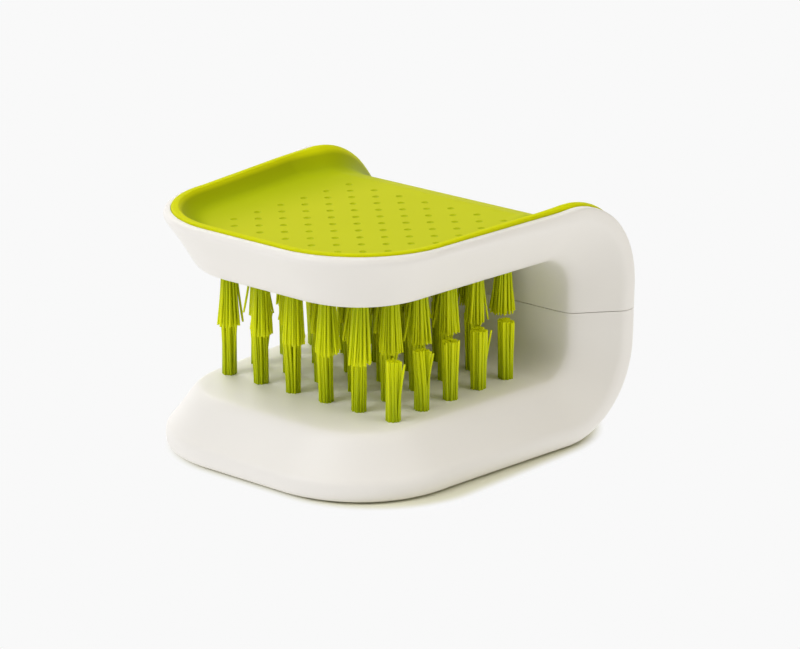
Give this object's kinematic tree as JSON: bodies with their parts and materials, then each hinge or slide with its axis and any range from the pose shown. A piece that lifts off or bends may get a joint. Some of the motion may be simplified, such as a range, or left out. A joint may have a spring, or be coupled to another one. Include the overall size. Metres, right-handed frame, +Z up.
{
  "type": "cutlery brush",
  "caption": "C-shaped hand brush with facing tufts inside its throat, a closed spine, an open front and a dished soft grip pad.",
  "frame": {"origin": "on the ground under the middle of the brush's footprint, where the foot pad stands", "axes": "+X across the brush to its right side, +Y from the open front to the closed spine, +Z up through the grip pad"},
  "size_m": [0.0852, 0.0886, 0.0572],
  "materials": {
    "white_shell": "satin warm white",
    "soft_grip": "soft matt yellow-green",
    "bristles": "slightly glossy yellow-green filaments",
    "screw_steel": "plain steel"
  },
  "bodies": {
    "root": {"upper_housing": "white_shell", "lower_housing": "white_shell", "pad_lid": "white_shell", "base_cover": "white_shell", "grip_pad": "soft_grip", "foot_pad": "soft_grip", "spine_screw_left": "screw_steel", "spine_screw_right": "screw_steel", "upper_bristle_row_1": "bristles", "upper_bristle_row_2": "bristles", "upper_bristle_row_3": "bristles", "upper_bristle_row_4": "bristles", "upper_bristle_row_5": "bristles", "upper_bristle_row_6": "bristles", "lower_bristle_row_1": "bristles", "lower_bristle_row_2": "bristles", "lower_bristle_row_3": "bristles", "lower_bristle_row_4": "bristles", "lower_bristle_row_5": "bristles"}
  },
  "joints": []
}
